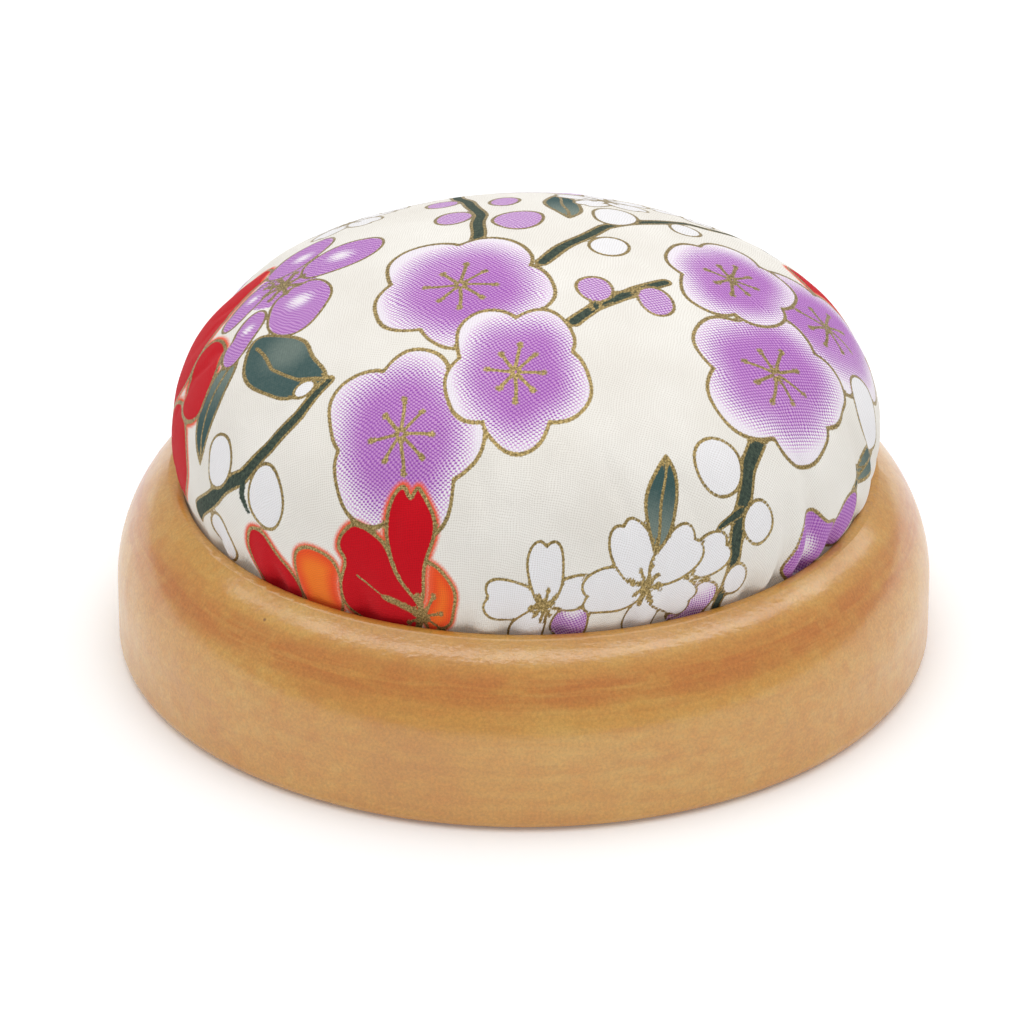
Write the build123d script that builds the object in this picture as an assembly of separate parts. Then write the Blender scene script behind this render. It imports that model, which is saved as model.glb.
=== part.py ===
"""Pin cushion: a firm cloth dome, drawn over a stiff disc and glued into a turned wooden base.

Millimetres, +Z up. The origin is the centre of the underside of the base. Every sub-part is turned
about the Z axis, apart from the knot and the cut ends of the gathering thread.
"""
from build123d import *
import os
from math import sqrt

# Wooden base: upright wall, then a long elliptical shoulder that runs in to the recess
BASE_RADIUS = 45.0
FOOT_ROUND = 1.5
SHOULDER_START = 7.6
SHOULDER_REACH = 20.0
SHOULDER_RISE = 17.4
SHOULDER_SWEEP = 80.0
RECESS_RADIUS = 37.5
RECESS_FLOOR = 7.0
RECESS_CORNER_ROUND = 1.0
LIP_ROUND = 1.0

# Cushion: outside of the cloth
BELLY_RADIUS = 39.0
BELLY_HEIGHT = 25.6
CROWN_HEIGHT = 47.0
SIDE_ROUND = 15.0
TUCK_ROUND = 11.5
CLOTH_THICKNESS = 0.4
CLOTH_FOLD_ROUND = 1.2
RECESS_CLEARANCE = 0.15

# Under the cushion
GLUE_THICKNESS = 0.6
GLUE_RADIUS = 33.0
GATHER_THICKNESS = 0.7
GATHER_HOLE_RADIUS = 13.0
DISC_THICKNESS = 2.0
DISC_RADIUS = 36.0
THREAD_RADIUS = 0.25
THREAD_CLEARANCE = 0.05
KNOT_RADIUS = 0.32
THREAD_TAIL_LENGTH = 6.0
THREAD_TAIL_SPREAD = 40.0

# Worked out from the sizes above
CUSHION_FLOOR = RECESS_FLOOR + GLUE_THICKNESS
DISC_FLOOR = CUSHION_FLOOR + GATHER_THICKNESS
NECK_RADIUS = RECESS_RADIUS - RECESS_CLEARANCE


def turned(section):
    """Turn a flat half section, radius along X and height along Y, once round the Z axis."""
    return revolve(Plane.XZ * section, Axis.Z, 360)


def round_slab(radius, thickness, floor):
    """Flat round piece that lies on a given height."""
    slab = Cylinder(radius, thickness, align=(Align.CENTER, Align.CENTER, Align.MIN))
    return Pos(0, 0, floor) * slab


def shoulder_height(radius):
    """Height of the elliptical shoulder at a given distance from the axis."""
    across = (radius - (BASE_RADIUS - SHOULDER_REACH)) / SHOULDER_REACH
    return SHOULDER_START + SHOULDER_RISE * sqrt(1 - across * across)


def wooden_base():
    """Turned dish with a rounded foot, a long round shoulder and a flat-bottomed recess."""
    foot_edge = BASE_RADIUS - FOOT_ROUND
    shoulder_centre = BASE_RADIUS - SHOULDER_REACH
    lip = (RECESS_RADIUS, shoulder_height(RECESS_RADIUS))
    shoulder = EllipticalCenterArc(
        (shoulder_centre, SHOULDER_START), SHOULDER_REACH, SHOULDER_RISE, 0, arc_size=SHOULDER_SWEEP
    )
    inside_recess = Rectangle(RECESS_RADIUS, 2 * BASE_RADIUS, align=(Align.MIN, Align.MIN))
    body = make_face(
        [
            Line((0, 0), (foot_edge, 0)),
            RadiusArc((foot_edge, 0), (BASE_RADIUS, FOOT_ROUND), -FOOT_ROUND),
            Line((BASE_RADIUS, FOOT_ROUND), (BASE_RADIUS, SHOULDER_START)),
            shoulder,
            Line(shoulder @ 1, (0, (shoulder @ 1).Y)),
            Line((0, (shoulder @ 1).Y), (0, 0)),
        ]
    )
    section = body - Pos(0, RECESS_FLOOR) * inside_recess
    lip_corner = section.vertices().sort_by_distance((*lip, 0))[0]
    section = fillet(lip_corner, LIP_ROUND)
    floor_corner = section.vertices().sort_by_distance((RECESS_RADIUS, RECESS_FLOOR, 0))[0]
    section = fillet(floor_corner, RECESS_CORNER_ROUND)
    return turned(section)


def dome_section(inset):
    """Half section of the cushion, all round smaller than the outside of the cloth by the inset.

    The crown and the side are two arcs that meet smoothly, and the side tucks in below the belly
    by a third arc until it is as narrow as the neck that goes down into the recess.
    """
    side_centre = BELLY_RADIUS - SIDE_ROUND
    rise_over_side = CROWN_HEIGHT - BELLY_HEIGHT - SIDE_ROUND
    crown_drop = (side_centre**2 - rise_over_side**2) / (2 * rise_over_side)
    crown_round = crown_drop + CROWN_HEIGHT - BELLY_HEIGHT
    join = Vector(side_centre, crown_drop).normalized()
    side_top = Vector(side_centre, BELLY_HEIGHT) + join * (SIDE_ROUND - inset)
    belly = Vector(BELLY_RADIUS - inset, BELLY_HEIGHT)
    crown = Vector(0, CROWN_HEIGHT - inset)
    tuck_inset = BELLY_RADIUS - NECK_RADIUS
    tuck_drop = sqrt(TUCK_ROUND**2 - (TUCK_ROUND - tuck_inset) ** 2)
    tuck_slope = Vector(TUCK_ROUND - tuck_inset, -tuck_drop).normalized()
    neck_top = Vector(BELLY_RADIUS - TUCK_ROUND, BELLY_HEIGHT) + tuck_slope * (TUCK_ROUND - inset)
    floor = CUSHION_FLOOR + inset
    fold = CLOTH_FOLD_ROUND - inset
    neck_radius = neck_top.X
    return make_face(
        [
            Line((0, floor), (neck_radius - fold, floor)),
            RadiusArc((neck_radius - fold, floor), (neck_radius, floor + fold), -fold),
            Line((neck_radius, floor + fold), neck_top),
            RadiusArc(neck_top, belly, -(TUCK_ROUND - inset)),
            RadiusArc(belly, side_top, -(SIDE_ROUND - inset)),
            RadiusArc(side_top, crown, -(crown_round - inset)),
            Line(crown, (0, floor)),
        ]
    )


def inside_of_cover():
    """Everything that the cloth holds, from the underside of the disc up."""
    return turned(dome_section(CLOTH_THICKNESS)) - round_slab(BASE_RADIUS, DISC_FLOOR, 0)


def cushion_cover():
    """Gathered circle of cloth: dome, neck and the ring that is drawn in under the disc."""
    gather_hole = round_slab(GATHER_HOLE_RADIUS, DISC_FLOOR, 0)
    return turned(dome_section(0)) - inside_of_cover() - gather_hole


def backing_disc():
    """Stiff disc that the cloth is drawn over."""
    return round_slab(DISC_RADIUS, DISC_THICKNESS, DISC_FLOOR)


def stuffing():
    """Firm filling: all the room inside the cloth that the disc leaves."""
    return inside_of_cover() - backing_disc()


def gathering_thread():
    """Running stitch drawn tight round the inner edge of the cloth, with its knot and cut ends."""
    loop_radius = GATHER_HOLE_RADIUS - THREAD_RADIUS - THREAD_CLEARANCE
    height = CUSHION_FLOOR + GATHER_THICKNESS / 2
    loop = Pos(0, 0, height) * Torus(loop_radius, THREAD_RADIUS)
    knot_place = Pos(loop_radius - THREAD_RADIUS, 0, height)
    tail = Rot(0, -90, 0) * round_slab(THREAD_RADIUS, THREAD_TAIL_LENGTH, 0)
    thread = loop + knot_place * Sphere(KNOT_RADIUS)
    for turn in (-THREAD_TAIL_SPREAD, THREAD_TAIL_SPREAD):
        thread += knot_place * Rot(0, 0, turn) * tail
    return thread


def glue_layer():
    """Bed of adhesive between the cloth and the floor of the recess."""
    return round_slab(GLUE_RADIUS, GLUE_THICKNESS, RECESS_FLOOR)


SUB_PARTS = {
    "wooden_base": wooden_base,
    "glue_layer": glue_layer,
    "cushion_cover": cushion_cover,
    "gathering_thread": gathering_thread,
    "backing_disc": backing_disc,
    "stuffing": stuffing,
}

os.makedirs("parts", exist_ok=True)
for name, make in SUB_PARTS.items():
    export_step(make(), f"parts/{name}.step")
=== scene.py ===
"""Pin cushion: a printed cotton dome in a lacquered wooden base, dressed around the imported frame.

Metres, +Z up, in the frame's own coordinates. Sizes whose names end in _mm are millimetres.
Places on the cloth are millimetres from the crown along the cloth: u to the right, v to the back.
"""

import logging
import math
from dataclasses import dataclass, field, fields
from enum import Enum

import bmesh
import bpy
import numpy as np
from mathutils import Matrix, Vector, noise


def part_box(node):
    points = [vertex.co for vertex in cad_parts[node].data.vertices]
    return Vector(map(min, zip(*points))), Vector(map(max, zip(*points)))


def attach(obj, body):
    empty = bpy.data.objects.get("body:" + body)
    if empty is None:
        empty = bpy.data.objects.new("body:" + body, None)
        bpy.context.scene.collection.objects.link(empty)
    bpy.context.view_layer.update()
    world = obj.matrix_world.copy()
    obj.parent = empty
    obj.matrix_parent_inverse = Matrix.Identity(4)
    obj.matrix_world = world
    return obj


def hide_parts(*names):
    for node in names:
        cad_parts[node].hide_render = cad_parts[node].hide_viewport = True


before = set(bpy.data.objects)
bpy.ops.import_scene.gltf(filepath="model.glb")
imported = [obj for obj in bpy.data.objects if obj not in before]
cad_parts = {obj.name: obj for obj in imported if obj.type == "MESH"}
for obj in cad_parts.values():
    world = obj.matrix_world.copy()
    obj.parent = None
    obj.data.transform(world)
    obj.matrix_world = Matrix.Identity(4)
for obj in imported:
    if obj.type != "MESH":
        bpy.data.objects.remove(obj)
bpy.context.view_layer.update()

MM = 0.001
CLOTH_UV = "cloth"
UV_PER_MM = 0.01
PRINT_LAYERS = ("dye_first", "dye_second", "print_tone")

Point = tuple[float, float]
Tone = tuple[int, int, int]

log = logging.getLogger("pin_cushion")


# ---------------------------------------------------------------- node bench


def paint(red: int, green: int, blue: int) -> tuple[float, float, float, float]:
    """Turn a screen colour into the linear colour that a shader takes.

    Args:
        red: Red, 0 to 255.
        green: Green, 0 to 255.
        blue: Blue, 0 to 255.

    Returns:
        Linear red, green, blue and an alpha of 1.
    """
    linear = []
    for part in (red, green, blue):
        share = part / 255
        linear.append(share / 12.92 if share <= 0.04045 else ((share + 0.055) / 1.055) ** 2.4)
    return (linear[0], linear[1], linear[2], 1.0)


def add_piece(name: str, data: bpy.types.ID) -> bpy.types.Object:
    """Put a mesh, a light or a camera into the scene.

    Args:
        name: The object's name.
        data: What it shows.

    Returns:
        The new object, at the origin.
    """
    piece = bpy.data.objects.new(name, data)
    bpy.context.scene.collection.objects.link(piece)
    return piece


class NodeBench:
    """A material under construction, with short calls for the nodes that the finishes share."""

    def __init__(self, name: str) -> None:
        """Start a material that holds one Principled shader.

        Args:
            name: The material's name.
        """
        self.material = bpy.data.materials.new(name)
        self.material.use_nodes = True
        self.tree = self.material.node_tree
        self.shader = self.tree.nodes["Principled BSDF"]

    def feed(self, socket: bpy.types.NodeSocket, value: object) -> None:
        """Link a socket to another, or set it when the value is plain.

        Args:
            socket: The input to fill.
            value: An output socket, a number, a colour or a vector.
        """
        if isinstance(value, bpy.types.NodeSocket):
            self.tree.links.new(value, socket)
        else:
            socket.default_value = value

    def node(self, kind: str, inputs: dict, output: int | str = 0, **settings: object) -> object:
        """Add a node, fill its inputs, and give one of its outputs.

        Args:
            kind: The node's class, without its ShaderNode prefix.
            inputs: Values or sockets, by the input's name or number.
            output: The output's name or number.
            settings: Properties to set on the node.

        Returns:
            The output's socket.
        """
        made = self.tree.nodes.new("ShaderNode" + kind)
        for name, value in settings.items():
            setattr(made, name, value)
        for name, value in inputs.items():
            self.feed(made.inputs[name], value)
        return made.outputs[output]

    def math(self, operation: str, *values: object) -> object:
        """Arithmetic on one, two or three values, by the Math node's name for it."""
        return self.node("Math", dict(enumerate(values)), operation=operation)

    def times(self, first: object, second: object) -> object:
        """The product of two values."""
        return self.math("MULTIPLY", first, second)

    def plus(self, first: object, second: object) -> object:
        """The sum of two values."""
        return self.math("ADD", first, second)

    def scaled(self, value: object, factor: float, offset: object) -> object:
        """A value times a factor, plus an offset."""
        return self.math("MULTIPLY_ADD", value, factor, offset)

    def fade(self, value: object, start: float, end: float, low: float = 0.0, high: float = 1.0) -> object:
        """Carry a value smoothly from low to high as it goes from start to end."""
        inputs = {"Value": value, "From Min": start, "From Max": end, "To Min": low, "To Max": high}
        return self.node("MapRange", inputs, "Result", interpolation_type="SMOOTHSTEP")

    def blend(self, share: object, under: object, over: object, mode: str = "MIX") -> object:
        """Lay one colour over another, by the share of the upper one that shows."""
        return self.node("Mix", {"Factor": share, 6: under, 7: over}, 2, data_type="RGBA", blend_type=mode)

    def ramp(self, value: object, *stops: tuple[float, int, int, int]) -> object:
        """Read a colour off a scale.

        Args:
            value: Place on the scale, 0 to 1.
            stops: Place, red, green and blue of each colour, in order.

        Returns:
            The colour's socket.
        """
        colour_out = self.node("ValToRGB", {0: value})
        scale = colour_out.node.color_ramp
        for stop in stops[2:]:
            scale.elements.new(stop[0])
        for element, (place, *colour) in zip(scale.elements, stops):
            element.position = place
            element.color = paint(*colour)
        return colour_out

    def noise(self, place: object, per_unit: float, detail: float = 2.0, rough: float = 0.5) -> object:
        """Clouds about 0.5 on average, with finer layers of a given number and strength."""
        inputs = {"Vector": place, "Scale": per_unit, "Detail": detail, "Roughness": rough}
        return self.node("TexNoise", inputs, "Fac")

    def cells(self, place: object, per_unit: float, output: str = "Distance") -> object:
        """Scattered points: the distance to the nearest one, or that point's Color."""
        return self.node("TexVoronoi", {"Vector": place, "Scale": per_unit}, output)

    def mapped(self, source: object, **inputs: object) -> object:
        """Coordinates that a Mapping node scales or turns."""
        return self.node("Mapping", {"Vector": source, **inputs})

    def object_mm(self, stretch: tuple[float, float, float] = (1, 1, 1)) -> object:
        """The object's own coordinates in millimetres, each axis times a factor."""
        return self.mapped(self.node("TexCoord", {}, "Object"), Scale=[part / MM for part in stretch])

    def parts(self, vector: object) -> tuple:
        """Split a vector into its three values."""
        return tuple(self.node("SeparateXYZ", {0: vector}).node.outputs)

    def stored(self, name: str) -> tuple:
        """The three values of a vector that is stored on the mesh."""
        return self.parts(self.node("Attribute", {}, "Vector", attribute_name=name))

    def bump(self, height: object, depth_mm: float, strength: float = 1.0, **under: object) -> object:
        """Raise the surface by a height of 0 to 1 times a depth, over a coarser Normal if there is one."""
        inputs = {"Strength": strength, "Distance": depth_mm * MM, "Height": height, **under}
        return self.node("Bump", inputs)

    def finish(self, **inputs: object) -> bpy.types.Material:
        """Fill inputs of the shader, where an underscore stands for a space in the name.

        Args:
            inputs: Input names in lower case with their values or sockets.

        Returns:
            The finished material.
        """
        known = {socket.name.lower().replace(" ", "_"): socket for socket in self.shader.inputs}
        for name, value in inputs.items():
            self.feed(known[name], value)
        return self.material


# ---------------------------------------------------------------- finishes


@dataclass(frozen=True)
class LacqueredWood:
    """Pale wood under a thin satin lacquer, with a warmer band round the shoulder."""

    band_low_mm: float = 12.0
    band_mid_mm: float = 15.8
    band_high_mm: float = 18.6
    speck_pitch_mm: float = 9.0
    lacquer_ripple_mm: float = 0.02
    fine_pore_mm: float = 0.017
    band_tone: Tone = (196, 110, 34)
    tool_tone: Tone = (196, 124, 48)
    mottle_tone: Tone = (212, 136, 56)
    tick_tone: Tone = (192, 140, 68)
    speck_tone: Tone = (96, 52, 30)

    def grain(self, bench: NodeBench, place: object, mottle: object) -> object:
        """Colour of the wood, from its broad clouds down to its ticks.

        Args:
            bench: The material.
            place: Object coordinates in millimetres.
            mottle: Patches a few millimetres across.

        Returns:
            The colour's socket.
        """
        across, ahead, height = bench.parts(place)
        round_base = bench.times(bench.math("ARCTAN2", across, ahead), 3.0)
        tool_mark = bench.noise(bench.node("CombineXYZ", {0: round_base, 1: height}), 0.85, 4.0, 0.65)
        cloud = bench.noise(place, 0.055, 3.0, 0.55)
        streak = bench.noise(bench.object_mm((0.04, 1.0, 1.0)), 0.9, 4.0, 0.6)
        tick = bench.noise(bench.object_mm((1.0, 1.0, 0.1)), 1.6, 3.0, 0.6)
        broad = bench.plus(bench.times(cloud, 0.6), bench.times(streak, 0.4))
        colour = bench.ramp(broad, (0.30, 205, 138, 55), (0.50, 216, 156, 65), (0.70, 222, 175, 86))
        rising = bench.fade(height, self.band_low_mm, self.band_mid_mm)
        falling = bench.fade(height, self.band_high_mm, self.band_mid_mm)
        band = bench.times(bench.times(rising, falling), bench.fade(mottle, 0.2, 0.6, 0.35))
        band = bench.times(band, bench.fade(tool_mark, 0.3, 0.62, 0.3))
        layers = (
            (bench.times(band, 0.95), self.band_tone),
            (bench.fade(tool_mark, 0.5, 0.72, 0.0, 0.3), self.tool_tone),
            (bench.fade(mottle, 0.42, 0.75, 0.0, 0.35), self.mottle_tone),
            (bench.fade(tick, 0.55, 0.8, 0.0, 0.22), self.tick_tone),
        )
        for share, tone in layers:
            colour = bench.blend(share, colour, paint(*tone))
        return colour

    def material(self) -> bpy.types.Material:
        """Make the wood's material.

        Returns:
            The finished material.
        """
        bench = NodeBench("lacquered_wood")
        place = bench.object_mm()
        mottle = bench.noise(place, 0.35, 4.0, 0.6)
        colour = self.grain(bench, place, mottle)
        speckle = bench.noise(place, 3.2, 2.0, 0.7)
        shade = bench.ramp(speckle, (0.3, 226, 226, 226), (0.7, 255, 255, 255))
        colour = bench.blend(1.0, colour, shade, "MULTIPLY")
        speck_shape = bench.cells(place, 1 / self.speck_pitch_mm)
        speck_pick = bench.parts(bench.cells(place, 1 / self.speck_pitch_mm, "Color"))[0]
        speck = bench.times(bench.fade(speck_shape, 0.035, 0.015), bench.fade(speck_pick, 0.72, 0.76))
        ripple = bench.noise(place, 0.7, 3.0, 0.6)
        pores = bench.noise(bench.object_mm((0.3, 1.0, 1.0)), 2.0, 2.0, 0.6)
        normal = bench.bump(ripple, self.lacquer_ripple_mm)
        normal = bench.bump(pores, self.fine_pore_mm, 0.8, Normal=normal)
        return bench.finish(
            base_color=bench.blend(bench.times(speck, 0.75), colour, paint(*self.speck_tone)),
            roughness=bench.fade(mottle, 0.3, 0.7, 0.42, 0.56),
            normal=normal,
            specular_ior_level=0.35,
            coat_weight=0.7,
            coat_ior=1.8,
            coat_roughness=0.16,
            coat_normal=normal,
        )


@dataclass(frozen=True)
class PrintedCotton:
    """Fine plain-weave cotton, with the print's dyes and gold read from the cloth's own mesh."""

    warp_pitch_mm: float = 0.28
    weft_pitch_mm: float = 0.26
    weave_turn: float = 9.0
    pull_mm: float = 0.9
    thread_relief_mm: float = 0.07
    edge_soft_mm: float = 0.10
    white_tone: Tone = (243, 242, 244)

    def weave(self, bench: NodeBench, place: object) -> tuple:
        """Height of the woven threads, and which of them lies on top.

        Args:
            bench: The material.
            place: Cloth coordinates in millimetres, turned to the threads.

        Returns:
            Two sockets: 0 in the gaps to 1 at the top of a thread, and above 0 where the warp is on top.
        """
        across, along, _ = bench.parts(place)
        warp = bench.math("DIVIDE", across, self.warp_pitch_mm)
        weft = bench.math("DIVIDE", along, self.weft_pitch_mm)
        heights = []
        for own, other, lift in ((warp, weft, 0.0), (weft, warp, 1.0)):
            turn = bench.plus(other, bench.plus(bench.math("FLOOR", own), lift - 0.5))
            wave = bench.math("COSINE", bench.times(turn, math.pi))
            middle = bench.math("SUBTRACT", bench.math("FRACT", own), 0.5)
            hollow = bench.times(bench.times(middle, middle), 2.0)
            heights.append(bench.math("SUBTRACT", bench.scaled(wave, 0.5, 0.5), hollow))
        return bench.math("MAXIMUM", *heights), bench.math("SUBTRACT", *heights)

    def material(self) -> bpy.types.Material:
        """Make the cloth's material.

        Returns:
            The finished material.
        """
        bench = NodeBench("printed_cotton")
        flat = bench.node("UVMap", {}, uv_map=CLOTH_UV)
        flat = bench.mapped(flat, Scale=(1 / UV_PER_MM, 1 / UV_PER_MM, 1.0))
        drift = bench.noise(flat, 0.35, 2.0, 0.5)
        turned = bench.mapped(flat, Rotation=(0.0, 0.0, math.radians(self.weave_turn)))
        pull = bench.times(drift, self.pull_mm)
        weave, over = self.weave(bench, bench.node("VectorMath", {0: turned, 1: pull}, operation="ADD"))
        dots = bench.fade(over, -0.1, -0.85)
        fuzz = bench.noise(flat, 2.4, 2.0, 0.6)
        wobble = bench.plus(bench.scaled(fuzz, 0.20, -0.10), bench.scaled(dots, -0.08, 0.02))

        def mask(gap: object) -> object:
            """Where a dye lies, from its signed distance."""
            return bench.fade(bench.plus(gap, wobble), self.edge_soft_mm, -self.edge_soft_mm)

        purple_gap, white_gap, red_gap = bench.stored(PRINT_LAYERS[0])
        orange_gap, leaf_gap, bark_gap = bench.stored(PRINT_LAYERS[1])
        gold_side, ink, gold_gap = bench.stored(PRINT_LAYERS[2])
        soil = bench.noise(flat, 0.08, 2.0, 0.5)
        ground = bench.ramp(soil, (0.35, 238, 234, 226), (0.65, 245, 242, 235))
        colour = bench.blend(mask(white_gap), ground, paint(*self.white_tone))
        even = bench.plus(ink, bench.scaled(fuzz, 0.2, -0.1))
        stipple = bench.times(bench.scaled(dots, 0.8, -0.3), bench.fade(ink, -0.1, 0.3))
        purple = bench.ramp(
            bench.plus(even, stipple),
            (0.04, 244, 238, 246),
            (0.32, 229, 204, 234),
            (0.66, 204, 148, 212),
            (1.0, 156, 84, 180),
        )
        colour = bench.blend(mask(purple_gap), colour, purple)
        reds = ((0.0, 242, 128, 100), (0.34, 238, 92, 62), (0.48, 204, 0, 24))
        oranges = ((0.0, 244, 132, 96), (0.22, 246, 98, 60), (0.42, 244, 84, 36), (1.0, 252, 130, 40))
        for gap, per_mm, stops in ((red_gap, 0.5, reds), (orange_gap, 0.33, oranges)):
            inward = bench.scaled(wobble, -1.0, bench.times(gap, -1.0))
            bled = bench.ramp(bench.times(inward, per_mm), *stops)
            colour = bench.blend(bench.fade(inward, -0.05, 0.6), colour, bled)
        shaded = bench.plus(even, bench.scaled(fuzz, -0.5, 0.25))
        leaf = bench.ramp(shaded, (0.15, 138, 150, 140), (0.9, 60, 88, 87))
        colour = bench.blend(mask(leaf_gap), colour, leaf)
        bark = bench.ramp(fuzz, (0.3, 42, 56, 50), (0.7, 78, 92, 78))
        colour = bench.blend(mask(bark_gap), colour, bark)
        glint = bench.noise(flat, 3.6, 2.0, 0.7)
        gold = bench.ramp(glint, (0.30, 98, 84, 50), (0.46, 142, 122, 74), (0.70, 214, 188, 128))
        gold_edge = bench.math("SUBTRACT", bench.math("ABSOLUTE", gold_side), 0.5)
        gold_edge = bench.scaled(wobble, 1.2, gold_edge)
        gold_mask = bench.times(bench.fade(gold_edge, 0.14, -0.14), bench.fade(gold_gap, 0.20, 0.04))
        colour = bench.blend(gold_mask, colour, gold)
        thread_shade = bench.ramp(weave, (0.15, 222, 218, 214), (0.6, 248, 247, 246), (1.0, 255, 255, 255))
        return bench.finish(
            base_color=bench.blend(0.85, colour, thread_shade, "MULTIPLY"),
            roughness=bench.scaled(gold_mask, -0.46, 0.88),
            metallic=bench.times(gold_mask, 0.55),
            normal=bench.bump(weave, self.thread_relief_mm, 0.55),
            sheen_weight=0.05,
            sheen_roughness=0.5,
            specular_ior_level=0.2,
        )


class Greyboard:
    """Pressed grey board with flecks of paper fibre."""

    def material(self) -> bpy.types.Material:
        """Make the board's material.

        Returns:
            The finished material.
        """
        bench = NodeBench("greyboard")
        place = bench.object_mm()
        pulp = bench.noise(place, 0.6, 4.0, 0.7)
        fleck = bench.fade(bench.cells(place, 0.5), 0.16, 0.06)
        colour = bench.ramp(pulp, (0.3, 138, 133, 124), (0.7, 168, 163, 152))
        return bench.finish(
            base_color=bench.blend(bench.times(fleck, 0.5), colour, paint(96, 92, 86)),
            roughness=bench.fade(pulp, 0.2, 0.8, 0.82, 0.95),
            normal=bench.bump(pulp, 0.05),
        )


class DriedGlue:
    """Set adhesive, amber and slightly glossy, with small bubbles."""

    def material(self) -> bpy.types.Material:
        """Make the glue's material.

        Returns:
            The finished material.
        """
        bench = NodeBench("dried_glue")
        place = bench.object_mm()
        flow = bench.noise(place, 0.2, 3.0, 0.5)
        bubble = bench.fade(bench.cells(place, 0.6), 0.2, 0.1)
        return bench.finish(
            base_color=bench.ramp(flow, (0.3, 206, 178, 120), (0.7, 226, 204, 156)),
            roughness=bench.fade(flow, 0.3, 0.7, 0.2, 0.4),
            normal=bench.bump(bench.plus(flow, bubble), 0.1),
        )


class TwistedThread:
    """Off-white sewing thread with its plies showing, painted darker in the grooves between them as shade.
    """

    def material(self) -> bpy.types.Material:
        """Make the thread's material.

        Returns:
            The finished material.
        """
        bench = NodeBench("twisted_thread")
        across, along, up = bench.parts(bench.object_mm())
        lay = bench.plus(bench.plus(across, along), bench.times(up, 2.0))
        ply = bench.scaled(bench.math("SINE", bench.times(lay, 9.0)), 0.5, 0.5)
        return bench.finish(
            # Painted shade: the colour darkens in the grooves between the plies, where the bump is lowest.
            base_color=bench.ramp(ply, (0.0, 205, 196, 180), (1.0, 240, 234, 222)),
            roughness=bench.fade(ply, 0.0, 1.0, 0.9, 0.7),
            normal=bench.bump(ply, 0.05),
        )


class FibreFill:
    """White fibre filling, matted and uneven."""

    def material(self) -> bpy.types.Material:
        """Make the filling's material.

        Returns:
            The finished material.
        """
        bench = NodeBench("fibre_fill")
        strand = bench.noise(bench.object_mm(), 0.9, 5.0, 0.75)
        return bench.finish(
            base_color=bench.ramp(strand, (0.3, 214, 210, 202), (0.7, 246, 244, 240)),
            roughness=bench.fade(strand, 0.3, 0.7, 0.9, 1.0),
            normal=bench.bump(strand, 0.3),
        )


# ---------------------------------------------------------------- the print


class Dye(Enum):
    """The print's dyes, in the order that their distances are stored."""

    PURPLE = 0
    WHITE = 1
    RED = 2
    ORANGE = 3
    LEAF = 4
    BARK = 5


def smooth(values: np.ndarray, start: float, end: float) -> np.ndarray:
    """Smooth step from 0 at start to 1 at end."""
    share = np.clip((values - start) / (end - start), 0, 1)
    return share * share * (3 - 2 * share)


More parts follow.
